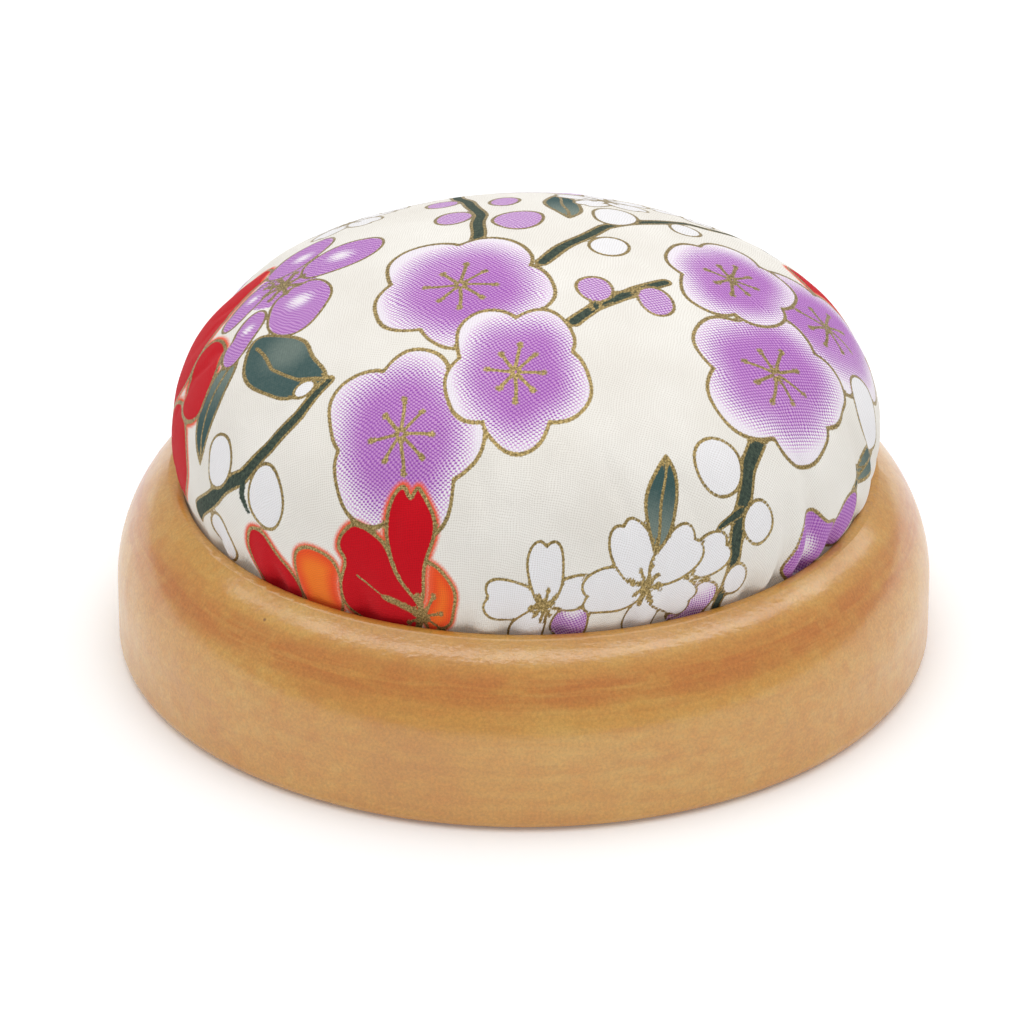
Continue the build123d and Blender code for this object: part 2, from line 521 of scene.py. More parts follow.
class PrintedSurface:
    """The print's distances at every point of a cloth, built up one motif over another.

    A gap is the distance to the edge of a shape in millimetres, one for each vertex, negative inside.
    """

    FAR = 1e3
    BARE = 3.0
    BLEED_COVER = 0.25

    def __init__(self, u: np.ndarray, v: np.ndarray, tremor_mm: float = 0.14) -> None:
        """Start with bare cloth.

        Args:
            u: Places to the right, one for each vertex.
            v: Places to the back.
            tremor_mm: How far the drawn lines wander.
        """
        self.u = u + tremor_mm * np.sin(v * 0.83 + 1.1)
        self.v = v + tremor_mm * np.sin(u * 0.77 + 2.7)
        self.gaps = np.full((len(u), len(Dye)), self.BARE)
        self.gold = np.full(len(u), self.BARE)
        self.line = np.full(len(u), self.BARE)
        self.ink = np.zeros(len(u))

    def from_point(self, at: Point) -> np.ndarray:
        """Distance to a point."""
        return np.hypot(self.u - at[0], self.v - at[1])

    def ellipse(self, at: Point, across: float, along: float, lean: float) -> np.ndarray:
        """Gap of an ellipse.

        Args:
            at: Its middle.
            across: Half its width.
            along: Half its length, along v when it doesn't lean.
            lean: Degrees that it leans to the left.

        Returns:
            The gap.
        """
        turn = math.radians(lean)
        side = (self.u - at[0]) * math.cos(turn) + (self.v - at[1]) * math.sin(turn)
        ahead = (self.v - at[1]) * math.cos(turn) - (self.u - at[0]) * math.sin(turn)
        near = np.hypot(side / across, ahead / along)
        slope = np.hypot(side / across**2, ahead / along**2) + 1e-6
        return near * (near - 1) / slope

    def stroke(self, route: tuple) -> tuple[np.ndarray, np.ndarray]:
        """Distance to a drawn route, positive on its left and negative on its right.

        Args:
            route: Points that it goes through.

        Returns:
            The signed distance, and the share of the way along the route.
        """
        runs = list(zip(route, route[1:]))
        total = sum(math.dist(a, b) for a, b in runs)
        gone = 0.0
        side = np.full_like(self.u, self.FAR)
        way = np.zeros_like(self.u)
        for a, b in runs:
            run = math.dist(a, b)
            off_u, off_v, run_u, run_v = self.u - a[0], self.v - a[1], b[0] - a[0], b[1] - a[1]
            along = np.clip((off_u * run_u + off_v * run_v) / run**2, 0, 1)
            off = np.hypot(off_u - along * run_u, off_v - along * run_v)
            closer = off < np.abs(side)
            side = np.where(closer, np.where(run_u * off_v < run_v * off_u, -off, off), side)
            way = np.where(closer, (gone + along * run) / total, way)
            gone += run
        return side, way

    def closed(self, outline: tuple, steps: int = 6, margin: float = 4.0) -> np.ndarray:
        """Gap of a closed smooth outline, or a large one far from it.

        Args:
            outline: Points that the outline goes through, in order.
            steps: Straight steps from each point to the next.
            margin: How far from the outline the gap is worked out.

        Returns:
            The gap.
        """
        points = np.array(outline)
        before, after, beyond = (np.roll(points, shift, 0) for shift in (1, -1, -2))
        share = np.linspace(0, 1, steps, endpoint=False)[:, None, None]
        curve = 0.5 * (
            2 * points
            + (after - before) * share
            + (2 * before - 5 * points + 4 * after - beyond) * share**2
            + (3 * points - before - 3 * after + beyond) * share**3
        )
        curve = curve.transpose(1, 0, 2).reshape(-1, 2)
        low, high = curve.min(0) - margin, curve.max(0) + margin
        near = (self.u > low[0]) & (self.u < high[0]) & (self.v > low[1]) & (self.v < high[1])
        u, v = self.u[near], self.v[near]
        off = np.full_like(u, self.FAR)
        inside = np.zeros(len(u), bool)
        for a, b in zip(curve, np.roll(curve, -1, 0)):
            run = b - a
            along = np.clip(((u - a[0]) * run[0] + (v - a[1]) * run[1]) / (run @ run), 0, 1)
            off = np.minimum(off, np.hypot(u - a[0] - along * run[0], v - a[1] - along * run[1]))
            crosses = (a[1] > v) != (b[1] > v)
            inside ^= crosses & (u < a[0] + (v - a[1]) * run[0] / (run[1] if run[1] else 1e-9))
        gap = np.full_like(self.u, self.FAR)
        gap[near] = np.where(inside, -off, off)
        return gap

    def glint(self, at: Point | None, small: float, large: float, lift: float = 1.0) -> object:
        """How much ink a round highlight leaves.

        Args:
            at: Middle of the highlight, if there is one.
            small: Radius of its bare middle.
            large: Radius where it ends.
            lift: How much of the ink it takes off.

        Returns:
            A factor for the ink, 1 without a highlight.
        """
        if at is None:
            return 1.0
        return 1 - lift * (1 - smooth(self.from_point(at), small, large))

    def lay(self, gap: np.ndarray, dye: Dye, outline: float, ink: object = 0.9, glow: float = 0.0) -> None:
        """Print one closed shape over what is there.

        Args:
            gap: The shape's gap.
            dye: What it is filled with.
            outline: Width of its gold line, or 0 for none.
            ink: How deep the dye is inside, as a number or one for each vertex.
            glow: How far the dye bleeds past the gold line.
        """
        cut = gap - self.BLEED_COVER * glow
        for other in Dye:
            column = self.gaps[:, other.value]
            if other is dye:
                np.minimum(column, gap - glow, out=column)
            else:
                np.maximum(column, -cut, out=column)
        self.ink = np.where(cut < 0, ink, self.ink)
        self.gold = np.maximum(self.gold, -cut)
        if outline:
            self.gild(gap, outline)

    def gild(self, side: np.ndarray, width: float | np.ndarray) -> None:
        """Draw a gold line.

        Args:
            side: Signed distance to the middle of the line.
            width: Width of the line.
        """
        gap = np.abs(side) - width / 2
        closer = gap < self.gold
        self.gold = np.where(closer, gap, self.gold)
        self.line = np.where(closer, side / width, self.line)

    def store(self, mesh: bpy.types.Mesh) -> None:
        """Write the distances on a mesh.

        Args:
            mesh: The cloth's mesh, with a vertex for each place.
        """
        tone = np.stack([self.line, self.ink, self.gold], 1)
        for name, values in zip(PRINT_LAYERS, (self.gaps[:, :3], self.gaps[:, 3:], tone)):
            layer = mesh.attributes.new(name, "FLOAT_VECTOR", "POINT")
            layer.data.foreach_set("vector", np.clip(values, -3, 3).astype(np.float32).ravel())


def beside(at: Point, direction: float, across: float, along: float) -> Point:
    """The point of an ellipse round a middle, in a direction given in radians."""
    return (at[0] + across * math.cos(direction), at[1] + along * math.sin(direction))


@dataclass(frozen=True)
class Stamens:
    """Gold star of fine arms with a dot at the end of each, an even number of them."""

    at: Point
    across: float
    along: float
    first: float = 85.0
    line: float = 0.42
    dot: float = 0.4
    arms: int = 8
    root: float = 0.12
    short: float = 0.86

    def print_on(self, cloth: PrintedSurface) -> None:
        """Print the star.

        Args:
            cloth: The surface to print.
        """
        for arm in range(self.arms):
            turn = math.radians(self.first + 360 * arm / self.arms)
            reach, hand = (1.0, 1) if arm % 2 == 0 else (self.short, -1)
            inner = beside(self.at, turn, self.root * self.across, self.root * self.along)
            tip = beside(self.at, turn, reach * self.across, reach * self.along)
            cloth.gild(hand * cloth.stroke((inner, tip))[0], self.line)
            cloth.gild(cloth.from_point(tip), 2 * self.dot)


@dataclass(frozen=True)
class Plum:
    """Round five-petalled blossom, deep purple in the middle and nearly white at its edge."""

    at: Point
    across: float
    along: float
    first: float
    pale_side: float = 125.0
    pale: float = 0.22
    outline: float = 0.48
    star: float = 0.38
    heart: float = 0.6
    petal_out: float = 0.528
    petal_size: float = 0.472
    uneven: float = 0.018

    def print_on(self, cloth: PrintedSurface) -> None:
        """Print the blossom and its stamens.

        Args:
            cloth: The surface to print.
        """
        side = (cloth.u - self.at[0]) / self.across
        ahead = (cloth.v - self.at[1]) / self.along
        rim = np.hypot(side, ahead)
        gap = rim - self.heart
        for petal in range(5):
            middle = beside((0, 0), math.radians(self.first + 72 * petal), self.petal_out, self.petal_out)
            swell = self.petal_size + self.uneven * math.sin(2.3 * petal + self.at[0])
            gap = np.minimum(gap, np.hypot(side - middle[0], ahead - middle[1]) - swell)
        toward = np.cos(np.arctan2(ahead, side) - math.radians(self.pale_side))
        ink = smooth(rim + 0.25 * np.minimum(gap + 0.2, 0.2), 1.14, 0.4)
        ink = np.clip(ink - self.pale * rim * np.maximum(toward + 0.3, 0), 0, 1)
        cloth.lay(gap * (self.across + self.along) / 2, Dye.PURPLE, self.outline, ink)
        Stamens(self.at, self.star * self.across, self.star * self.along).print_on(cloth)


@dataclass(frozen=True)
class Petal:
    """One petal, round or notched at its tip."""

    dye: Dye
    at: Point
    across: float
    along: float
    lean: float = 0.0
    notched: bool = False
    ink: float = 0.9
    outline: float = 0.34
    glow: float = 0.0
    highlight: Point | None = None

    def print_on(self, cloth: PrintedSurface) -> None:
        """Print the petal.

        Args:
            cloth: The surface to print.
        """
        gap = np.full_like(cloth.u, cloth.FAR)
        for hand in (-1, 1) if self.notched else (0,):
            aside = hand * 0.27 * self.across
            middle = beside(self.at, math.radians(self.lean), aside, aside)
            width = 0.74 * self.across if hand else self.across
            gap = np.minimum(gap, cloth.ellipse(middle, width, self.along, self.lean - hand * 7))
        ink = self.ink * cloth.glint(self.highlight, 0.05 * self.across, 0.62 * self.across)
        cloth.lay(gap, self.dye, self.outline, ink, self.glow)


@dataclass(frozen=True)
class Leaf:
    """Pointed leaf with a gold edge and midrib."""

    base: Point
    tip: Point
    width: float
    outline: float = 0.42

    def print_on(self, cloth: PrintedSurface) -> None:
        """Print the leaf.

        Args:
            cloth: The surface to print.
        """
        length = math.dist(self.base, self.tip)
        ahead = ((self.tip[0] - self.base[0]) / length, (self.tip[1] - self.base[1]) / length)
        off_u = cloth.u - (self.base[0] + self.tip[0]) / 2
        off_v = cloth.v - (self.base[1] + self.tip[1]) / 2
        along = off_u * ahead[0] + off_v * ahead[1]
        aside = np.abs(off_v * ahead[0] - off_u * ahead[1])
        edge_round = (length**2 / 4 + self.width**2 / 4) / self.width
        gap = np.hypot(aside + edge_round - self.width / 2, along) - edge_round
        cloth.lay(gap, Dye.LEAF, self.outline, 0.35 + 0.6 * smooth(along, -0.4 * length, 0.3 * length))
        rib, way = cloth.stroke((self.base, self.tip))
        cloth.gild(rib, 0.42 - 0.16 * way)


@dataclass(frozen=True)
class Freehand:
    """Closed shape drawn through a few points."""

    dye: Dye
    outline: tuple
    line: float = 0.44
    ink: float = 0.9
    glow: float = 0.0
    highlight: Point | None = None
    highlight_mm: float = 2.0
    lift: float = 1.0

    def print_on(self, cloth: PrintedSurface) -> None:
        """Print the shape.

        Args:
            cloth: The surface to print.
        """
        ink = self.ink * cloth.glint(self.highlight, 0.2 * self.highlight_mm, self.highlight_mm, self.lift)
        cloth.lay(cloth.closed(self.outline), self.dye, self.line, ink, self.glow)


@dataclass(frozen=True)
class Twig:
    """Dark branch with gold edges, drawn as a stroke that tapers."""

    route: tuple
    start: float
    end: float
    outline: float = 0.36

    def print_on(self, cloth: PrintedSurface) -> None:
        """Print the branch.

        Args:
            cloth: The surface to print.
        """
        side, way = cloth.stroke(self.route)
        gap = np.abs(side) - (self.start + (self.end - self.start) * way) / 2
        cloth.lay(gap, Dye.BARK, self.outline)


@dataclass(frozen=True)
class GoldLine:
    """Fine gold line drawn over the dyes."""

    route: tuple
    width: float

    def print_on(self, cloth: PrintedSurface) -> None:
        """Print the line."""
        cloth.gild(cloth.stroke(self.route)[0], self.width)


def bud(at: Point, across: float, along: float, dye: Dye = Dye.WHITE) -> Petal:
    """Round bud with its middle, half its width and half its length."""
    return Petal(dye, at, across, along, outline=0.38, ink=0.72)


def white(at: Point, across: float, along: float, lean: float) -> Petal:
    """White notched petal."""
    return Petal(Dye.WHITE, at, across, along, lean, True)


def purple(at: Point, across: float, along: float, lean: float, highlight: Point) -> Petal:
    """Purple round petal with a highlight."""
    return Petal(Dye.PURPLE, at, across, along, lean, highlight=highlight)


def red(*outline: Point) -> Freehand:
    """Red petal that bleeds past its gold line."""
    return Freehand(Dye.RED, outline, ink=1.0, glow=0.9)


def orange(*outline: Point) -> Freehand:
    """Orange petal that bleeds past its gold line."""
    return Freehand(Dye.ORANGE, outline, glow=0.8)


def cherry(at: Point, dye: Dye, reach: float, first: float, glow: float = 0.0) -> list:
    """Five notched petals round a star of stamens.

    Args:
        at: Middle of the flower.
        dye: The petals' dye.
        reach: From the middle to a petal's tip.
        first: Direction of the first petal, degrees from u towards v.
        glow: How far the dye bleeds past the gold line.

    Returns:
        The motifs, in the order that they are printed.
    """
    made: list = []
    for number in range(5):
        turn = math.radians(first + 72 * number)
        middle = beside(at, turn, 0.56 * reach, 0.56 * reach)
        lit = middle if dye is Dye.PURPLE else None
        lean = math.degrees(turn) - 90
        made.append(Petal(dye, middle, 0.33 * reach, 0.45 * reach, lean, True, glow=glow, highlight=lit))
    return made + [Stamens(at, 0.42 * reach, 0.42 * reach, line=0.28, dot=0.27)]


@dataclass(frozen=True)
class BlossomPrint:
    """The whole pattern: plum and cherry blossom on branches, with leaves and buds.

    The fields are printed in their order, one motif over another, the made-up far side first.
    """

    back: tuple = (
        Twig(((-38, 17), (-30, 23), (-22, 27), (-13, 31), (-6, 33)), 2.2, 1.2),
        Twig(((-8.2, 26), (-9, 31), (-14, 38), (-17, 46), (-18, 56)), 1.4, 1.8),
        Twig(((20.6, 17.2), (25, 21), (28, 27), (29, 35), (27, 44), (26, 54)), 1, 1.9),
        Leaf((25.4, 21.5), (36.5, 19), 4.4),
        Leaf((-27, 25.5), (-33.5, 35.5), 5.2),
        Leaf((4.8, 9.2), (3.5, 22), 3.9),
        Leaf((28.8, 34), (39.5, 37.5), 4.2),
        Leaf((-15, 40), (-25.5, 46), 4.4),
        Plum((15, 44.5), 9.6, 10.4, 20, pale_side=60),
        Plum((-8.5, 47), 9, 10, 48, pale_side=200),
        Plum((3.5, 34), 9.8, 10.2, 8, pale_side=95),
        Plum((-39, 29.5), 8.6, 9.6, 30, pale_side=-60),
        *cherry((9, 21.5), Dye.WHITE, 5.6, 100),
        *cherry((19.5, 24.5), Dye.WHITE, 5.4, 60),
        *cherry((-20.5, 21), Dye.WHITE, 5.6, 18),
        *cherry((-15.5, 27.5), Dye.WHITE, 5.2, 60),
        *cherry((37.5, 26.5), Dye.RED, 9, 12, 0.9),
        *cherry((42, 13.5), Dye.RED, 8, 50, 0.9),
        *cherry((-28.5, 42), Dye.RED, 8.4, 40, 0.9),
        *cherry((-48.5, 14), Dye.RED, 7.4, 70, 0.9),
        *cherry((33.5, 44.5), Dye.PURPLE, 8.4, 30),
        bud((-24.5, 31), 2.3, 2.7),
        bud((-34.5, 18), 2.2, 2.6, Dye.PURPLE),
        bud((24, 32.5), 2.3, 2.9),
        bud((31.5, 31), 2, 2.4, Dye.PURPLE),
        bud((-19.5, 34.5), 2, 2.5, Dye.PURPLE),
        bud((-43.5, 21), 2.2, 2.6),
    )
    branches_and_plums: tuple = (
        Twig(
            ((-47, -20.7), (-40, -24.2), (-34.8, -25.7), (-30, -25), (-25.4, -22.7), (-21.9, -19.6)),
            2.4, 1.1,
        ),
        Twig(((-34.6, -25.6), (-35.6, -27.6), (-35.4, -29.8)), 1.3, 0.5, 0),
        Twig(((26.4, -24), (25.6, -30), (25.8, -35), (26.7, -38.6), (28.1, -42.4), (30, -47)), 2, 1.7),
        Twig(((25.8, -34.8), (23.7, -37.3)), 1.1, 0.6, 0.2),
        Twig(((-5.4, 2.2), (-5.1, 10.8), (-5.9, 15.6), (-7.5, 22), (-8.2, 27)), 1.5, 1.3),
        Twig(
            ((1.6, -3.4), (5.9, 3.1), (8.8, 7.6), (12.3, 11.1), (15.5, 14), (18.4, 16.6), (20.6, 17.2)),
            1.4, 1,
        ),
        Twig(((5.2, -14.6), (7.3, -11.6), (10.9, -8.7), (15.1, -4.4)), 1.4, 1.2),
        Twig(((7.4, -11.6), (7.2, -9.6)), 1, 0.9),
        Twig(((12, -7.9), (14, -8.6)), 1, 0.9),
        Twig(((43.7, -23), (43.4, -17.3)), 1, 0.9),
        Leaf((44.4, -18.2), (45.7, -10), 3),
        red((30.5, 13), (33.5, 16), (38.5, 13.5), (42.8, 7.5), (42, 3), (37.5, 5)),
        Plum((34.7, -0.4), 10, 11.2, 62, pale_side=-45, pale=0.32),
        Petal(Dye.WHITE, (42.2, -8.6), 3.4, 4.4, 35),
        Plum((28, -15.6), 10.1, 11.6, 90, pale_side=-60),
        Plum((23, 0.9), 7.8, 10.2, 90, pale_side=140),
        Plum((-13.8, -29.6), 9.2, 12.2, 70, pale_side=20, pale=0.12),
        Plum((-7, -7.4), 10.1, 11.4, 57, pale_side=125, pale=0.25),
        Plum((-1.1, -22.5), 8.1, 10.9, 55, pale_side=150),
        Leaf((-32.6, -7.6), (-41.8, -18), 4),
        Freehand(
            Dye.LEAF,
            (
                (-30.3, -7.4), (-27.2, -8.8), (-24.8, -11.2), (-23.5, -14.7), (-22.3, -19.2), (-25.2, -20),
                (-28.2, -19), (-31, -15.6), (-32.2, -11.2),
            ),
            ink=0.85, highlight=(-26.6, -11.8), highlight_mm=4.5, lift=0.4,
        ),
        GoldLine(((-30.4, -9.2), (-28.4, -14.2), (-25.7, -17.4), (-22.6, -19)), 0.42),
    )
    left_flowers: tuple = (
        red(
            (-42.6, -6.4), (-42.8, -11.5), (-45.6, -15.8), (-50.5, -14), (-53, -8), (-50, -2),
            (-45.3, -2.6),
        ),
        red((-37.4, 0), (-33.4, 5), (-29.4, 9), (-31, 13), (-37.5, 13), (-44.5, 8), (-46.5, 0), (-42, -3)),
        red(
            (-36.2, -1.2), (-34.9, -5), (-36.4, -9), (-39.4, -12.4), (-42.2, -10.4), (-42.4, -6.2),
            (-39.4, -1.6),
        ),
        Petal(Dye.PURPLE, (-27.6, 3.2), 4.4, 4.6, outline=0),
        purple((-32.2, -5.2), 2, 4.6, -27, (-31.7, -4.1)),
        purple((-32, 2.4), 1.9, 4.5, -37, (-31.4, 3.4)),
        purple((-25.7, 10.6), 2.8, 5.2, -38, (-25.4, 10.2)),
        purple((-20.6, 5.8), 3.6, 5.1, -64, (-20.8, 6)),
        purple((-25.4, -3.6), 3.7, 5.5, -8, (-25.4, -2.5)),
        Stamens((-27.5, 3.3), 2.7, 3.1, first=60, line=0.6),
    )
    low_left_flowers: tuple = (
        orange(
            (-32.4, -39.4), (-30.4, -37.7), (-27.7, -38.2), (-25.5, -40.6), (-25.6, -44), (-28.6, -47.2),
            (-32.6, -46), (-33.8, -42.6),
        ),
        red(
            (-36.8, -31.4), (-35, -32.6), (-34.2, -35.5), (-33.4, -39), (-35, -43), (-38.8, -41.2),
            (-40.6, -37), (-39.6, -33.2),
        ),
        orange(
            (-14.1, -44.4), (-12.4, -44.2), (-10.8, -45.3), (-9.8, -47.6), (-10.1, -50), (-11.2, -52.6),
            (-14.6, -53), (-14.6, -48),
        ),
        red(
            (-17.2, -41.2), (-16.7, -38.8), (-15.5, -36.6), (-14.2, -35.6), (-13.3, -37), (-12.4, -36),
            (-11.3, -37.8), (-10.9, -39.8), (-11.4, -41.8), (-12.7, -44.4), (-14.8, -49), (-16.4, -46),
        ),
        red(
            (-22.6, -38.5), (-20.6, -38.1), (-18.7, -39.5), (-17.4, -41.7), (-16.6, -45.6), (-15.2, -50),
            (-18, -53), (-23.4, -51.6), (-26.4, -47.4), (-25.6, -43.6), (-23.7, -41.4), (-23.8, -39.6),
        ),
        GoldLine(((-19.6, -47.2), (-17.4, -48.8), (-15.4, -50.4)), 0.9),
        GoldLine(((-19.8, -47), (-22.6, -43.6)), 0.25),
        Stamens((-14.8, -51), 3.2, 3.6, first=50),
    )
    white_flowers: tuple = (
        white((23.4, -40.7), 2.3, 3, -45),
        Freehand(
            Dye.PURPLE,
            (
                (20.8, -47.8), (21.6, -45.2), (23.6, -43.7), (26.6, -43.6), (27.8, -45.6), (26.6, -49),
                (22.4, -50.4),
            ),
            line=0.36, ink=0.66, highlight=(24.2, -43.6), highlight_mm=4.2,
        ),
        Freehand(
            Dye.PURPLE,
            ((4.4, -51.8), (5.4, -50.2), (7.4, -49.6), (8.9, -51), (9.2, -54), (6.8, -55.5), (4, -54.6)),
            line=0.36, ink=0.8, highlight=(6.6, -50.2), highlight_mm=2.6,
        ),
        white((6, -48.7), 2, 3.2, -68),
        white((-2.1, -49.8), 2.6, 3.7, 78),
        white((2.4, -46.7), 2.2, 3.7, 0),
        white((0.4, -54), 2.4, 3.4, 150),
        Stamens((2.5, -50.6), 2, 2.1, line=0.42, dot=0.31),
        white((17, -50), 2.4, 3.4, 190),
        white((20.2, -46.7), 2.5, 4, -88),
        white((11.4, -47.8), 2.7, 4.1, 106),
        white((13.2, -43.1), 2.7, 3.6, 36),
        white((18.8, -42.4), 2.6, 3.8, -34),
        Stamens((15.9, -46.2), 2.3, 2.5, line=0.42, dot=0.31),
        Leaf((15.9, -42.4), (15.6, -31.6), 3.7),
    )
    buds: tuple = (
        bud((-37.8, -21.3), 2.6, 3.2), bud((-32, -30), 2.8, 3.7), bud((-24.8, -19.4), 1.3, 1.1),
        bud((21.9, -31), 3, 3.2), bud((28.7, -34.8), 2.3, 2.4), bud((29.2, -41.8), 2, 2),
        bud((9.1, 1.8), 2.2, 2.5), bud((9.8, 12.3), 2.5, 3.6), bud((17.8, 12.7), 1.8, 2.3),
        bud((-43.9, -27.7), 2.6, 3.4), bud((-0.8, 8.6), 2.8, 3.3, Dye.PURPLE),
        bud((-8.1, 11.1), 2.1, 2.5, Dye.PURPLE), bud((-2.4, 17.5), 1.7, 2.4, Dye.PURPLE),
        bud((-9.6, 19.6), 1.9, 2.4, Dye.PURPLE), bud((7.4, -8.2), 2, 2.4, Dye.PURPLE),
        bud((14.1, -8.7), 2, 2.6, Dye.PURPLE),
    )
    low_right_flower: tuple = (
        Freehand(
            Dye.PURPLE,
            (
                (42.8, -25.8), (42.8, -23), (43.9, -20.3), (46.5, -20.4), (48.6, -24), (46.5, -27.5),
                (44, -27.6),
            ),
            ink=1,
        ),
        Freehand(
            Dye.PURPLE,
            (
                (37.3, -28.4), (36.3, -31), (36.7, -33.5), (39, -36.5), (43, -35.5), (45, -31),
                (43, -26.2), (40.4, -27.6),
            ),
            ink=1, highlight=(40.6, -32.2), highlight_mm=3,
        ),
    )

    def print_on(self, cloth: PrintedSurface) -> None:
        """Print every motif.

        Args:
            cloth: The surface to print.
        """
        for part in fields(self):
            for motif in getattr(self, part.name):
                motif.print_on(cloth)


# ---------------------------------------------------------------- the cushion


def read_places(mesh: bpy.types.Mesh) -> np.ndarray:
    """Places of a mesh's vertices.

    Args:
        mesh: The mesh.

    Returns:
        Its places, one row each.
    """
    places = np.empty(len(mesh.vertices) * 3)
    mesh.vertices.foreach_get("co", places)
    return places.reshape(-1, 3)


def write_places(mesh: bpy.types.Mesh, places: np.ndarray) -> None:
    """Move a mesh's vertices, one row each."""
    mesh.vertices.foreach_set("co", places.ravel())


@dataclass
class DomeOutline:
    """Half outline of the cushion from the crown to the gathered hole, read along the cloth."""

    belly_radius: float
    crown_height: float
    floor: float
    belly_height: float = 25.6
    side_round: float = 15.0
    tuck_round: float = 11.5
    neck_radius: float = 37.35
    fold_round: float = 1.2
    hole_radius: float = 13.0
    step: float = 0.05
    fold_steps: int = 24
    table: np.ndarray = field(init=False)
    neck: float = field(init=False)

    @classmethod
    def from_frame(cls) -> "DomeOutline":
        """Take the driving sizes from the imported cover."""
        low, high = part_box("cushion_cover")
        return cls(high.x / MM, high.z / MM, low.z / MM)

    def __post_init__(self) -> None:
        """Tabulate the outline: distance along it, radius, height, and the way outwards."""
        side_centre = self.belly_radius - self.side_round
        rise = self.crown_height - self.belly_height - self.side_round
        drop = (side_centre**2 - rise**2) / (2 * rise)
        crown_round = drop + self.crown_height - self.belly_height
        lean = math.atan2(side_centre, drop)
        tuck_centre = self.belly_radius - self.tuck_round
        tuck_lean = math.pi / 2 + math.acos((self.neck_radius - tuck_centre) / self.tuck_round)
        neck_top = self.belly_height + self.tuck_round * math.cos(tuck_lean)
        fold_height = self.floor + self.fold_round
        fold_centre = self.neck_radius - self.fold_round
        rows: list = []

        def arc(middle: float, height: float, size: float, turns: np.ndarray) -> None:
            """Add an arc.

            Args:
                middle: Radius of its centre.
                height: Height of its centre.
                size: How round it is.
                turns: Its directions, measured from straight up.
            """
            for turn in turns:
                out, up = math.sin(turn), math.cos(turn)
                rows.append((middle + size * out, height + size * up, out, up))

        for middle, height, size, start, end in (
            (0.0, self.crown_height - crown_round, crown_round, 0.0, lean),
            (side_centre, self.belly_height, self.side_round, lean, math.pi / 2),
            (tuck_centre, self.belly_height, self.tuck_round, math.pi / 2, tuck_lean),
        ):
            count = max(2, int(size * (end - start) / self.step))
            arc(middle, height, size, np.linspace(start, end, count))
        for height in np.arange(neck_top - self.step, fold_height, -self.step):
            rows.append((self.neck_radius, height, 1.0, 0.0))
        arc(fold_centre, fold_height, self.fold_round, np.linspace(math.pi / 2, math.pi, self.fold_steps))
        for radius in np.arange(fold_centre - self.step, self.hole_radius - self.step, -self.step):
            rows.append((radius, self.floor, 0.0, -1.0))
        outline = np.array(rows)
        steps = np.hypot(np.diff(outline[:, 0]), np.diff(outline[:, 1]))
        self.table = np.column_stack([np.concatenate([[0.0], np.cumsum(steps)]), outline])
        self.neck = self.where(neck_top)

    def at(self, gone: np.ndarray) -> tuple:
        """Radius, height, and the radial and upward share of the normal at distances from the crown."""
        return tuple(np.interp(gone, self.table[:, 0], self.table[:, column]) for column in range(1, 5))

    def where(self, height: float) -> float:
        """Distance along the cloth to the neck at a height."""
        below = (self.table[:, 1] > self.neck_radius - 0.01) & (self.table[:, 2] <= height)
        return float(self.table[below][0, 0])

    def even_share(self, share: float) -> float:
        """Distance along the cloth that cuts the dome into rings of even area.

        Args:
            share: Share of the way out on a flat disc, 0 to 1.

        Returns:
            The distance, which is the neck's at a share of 1.
        """
        used = self.table[self.table[:, 0] <= self.neck]
        widths = np.diff(used[:, 0]) * (used[1:, 1] + used[:-1, 1]) / 2
        area = np.concatenate([[0.0], np.cumsum(widths)])
        return float(np.interp(share**2, area / area[-1], used[:, 0]))


@dataclass(frozen=True)
class Gather:
    """One fold where the cloth is drawn in towards the rim."""

    azimuth: float
    depth_mm: float
    width_mm: float
    reach_mm: float


